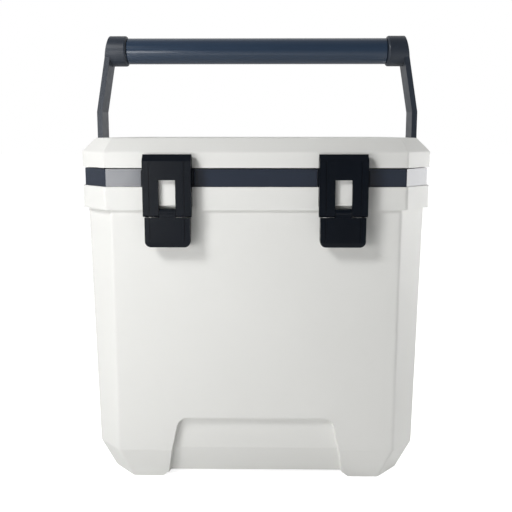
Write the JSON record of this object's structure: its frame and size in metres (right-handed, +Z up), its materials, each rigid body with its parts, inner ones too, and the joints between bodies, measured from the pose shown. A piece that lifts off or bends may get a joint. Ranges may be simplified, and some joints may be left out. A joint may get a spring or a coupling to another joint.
{
  "type": "cooler chest",
  "caption": "Hard-sided cooler chest with eight-sided plan, foam walls, rear-hinged lid, front latches and an upright bail handle.",
  "frame": {"origin": "on the ground under the middle of the chest's outline, at the height of the four feet", "axes": "+Z up, -Y towards the latches at the front, +X to the right of someone facing the latches"},
  "size_m": [0.4346, 0.337, 0.5398],
  "materials": {
    "white_shell": "fine textured matt white",
    "foam": "closed cell foam",
    "white_liner": "smooth satin white",
    "grey_collar": "glossy slate grey",
    "gasket_rubber": "soft black rubber",
    "tube_metal": "drawn tube",
    "grip_plastic": "satin slate grey",
    "handle_plastic": "satin slate grey",
    "hinge_plastic": "matt black",
    "latch_plastic": "matt black",
    "washer_plastic": "matt dark grey",
    "pin_steel": "bright steel",
    "brass_insert": "turned brass"
  },
  "bodies": {
    "body": {"outer_shell": "white_shell", "body_foam": "foam", "inner_liner": "white_liner", "rim_collar": "grey_collar", "hinge_screws": "pin_steel", "keeper_left": "white_shell", "keeper_right": "white_shell", "hinge_bracket_left": "hinge_plastic", "hinge_bracket_right": "hinge_plastic", "hinge_pin_left": "pin_steel", "hinge_pin_right": "pin_steel", "pivot_insert_left": "brass_insert", "pivot_insert_right": "brass_insert"},
    "handle": {"handle_arm_left": "handle_plastic", "handle_arm_right": "handle_plastic", "handle_crossbar": "tube_metal", "handle_screws": "pin_steel", "pivot_bolt_left": "pin_steel", "pivot_bolt_right": "pin_steel", "pivot_washer_left": "washer_plastic", "pivot_washer_right": "washer_plastic"},
    "grip": {"grip_sleeve": "grip_plastic"},
    "lid": {"lid_shell": "white_shell", "lid_foam": "foam", "lid_liner": "white_liner", "lid_gasket": "gasket_rubber", "lid_hinge_screws": "pin_steel", "lid_hinge_leaf_left": "hinge_plastic", "lid_hinge_leaf_right": "hinge_plastic", "latch_pin_left": "pin_steel", "latch_pin_right": "pin_steel"},
    "latch_left": {"latch_frame_left": "latch_plastic", "lever_pin_left": "pin_steel"},
    "lever_left": {"latch_lever_left": "latch_plastic"},
    "latch_right": {"latch_frame_right": "latch_plastic", "lever_pin_right": "pin_steel"},
    "lever_right": {"latch_lever_right": "latch_plastic"}
  },
  "joints": [
    {"name": "lid_hinge", "type": "hinge", "parent": "body", "child": "lid", "pos_m": [0, 0.163, 0.366], "axis": [-1, 0, 0], "range_deg": [0, 95]},
    {"name": "handle_fold_back", "type": "hinge", "parent": "body", "child": "handle", "pos_m": [0, 0.02, 0.28], "axis": [-1, 0, 0], "range_deg": [0, 126.85]},
    {"name": "grip_spin", "type": "hinge", "parent": "handle", "child": "grip", "pos_m": [0, 0.02, 0.52], "axis": [1, 0, 0], "continuous": true},
    {"name": "latch_swing_left", "type": "hinge", "parent": "lid", "child": "latch_left", "pos_m": [-0.0965, -0.1608, 0.3832], "axis": [-1, 0, 0], "range_deg": [0, 85]},
    {"name": "lever_swing_left", "type": "hinge", "parent": "latch_left", "child": "lever_left", "pos_m": [-0.0965, -0.1645, 0.325], "axis": [-1, 0, 0], "range_deg": [0, 95]},
    {"name": "latch_swing_right", "type": "hinge", "parent": "lid", "child": "latch_right", "pos_m": [0.0965, -0.1608, 0.3832], "axis": [-1, 0, 0], "range_deg": [0, 85]},
    {"name": "lever_swing_right", "type": "hinge", "parent": "latch_right", "child": "lever_right", "pos_m": [0.0965, -0.1645, 0.325], "axis": [-1, 0, 0], "range_deg": [0, 95]}
  ],
  "couplings": [
    {"joint": "handle_fold_back", "follows": "lid_hinge", "ratio": 1.33}
  ]
}
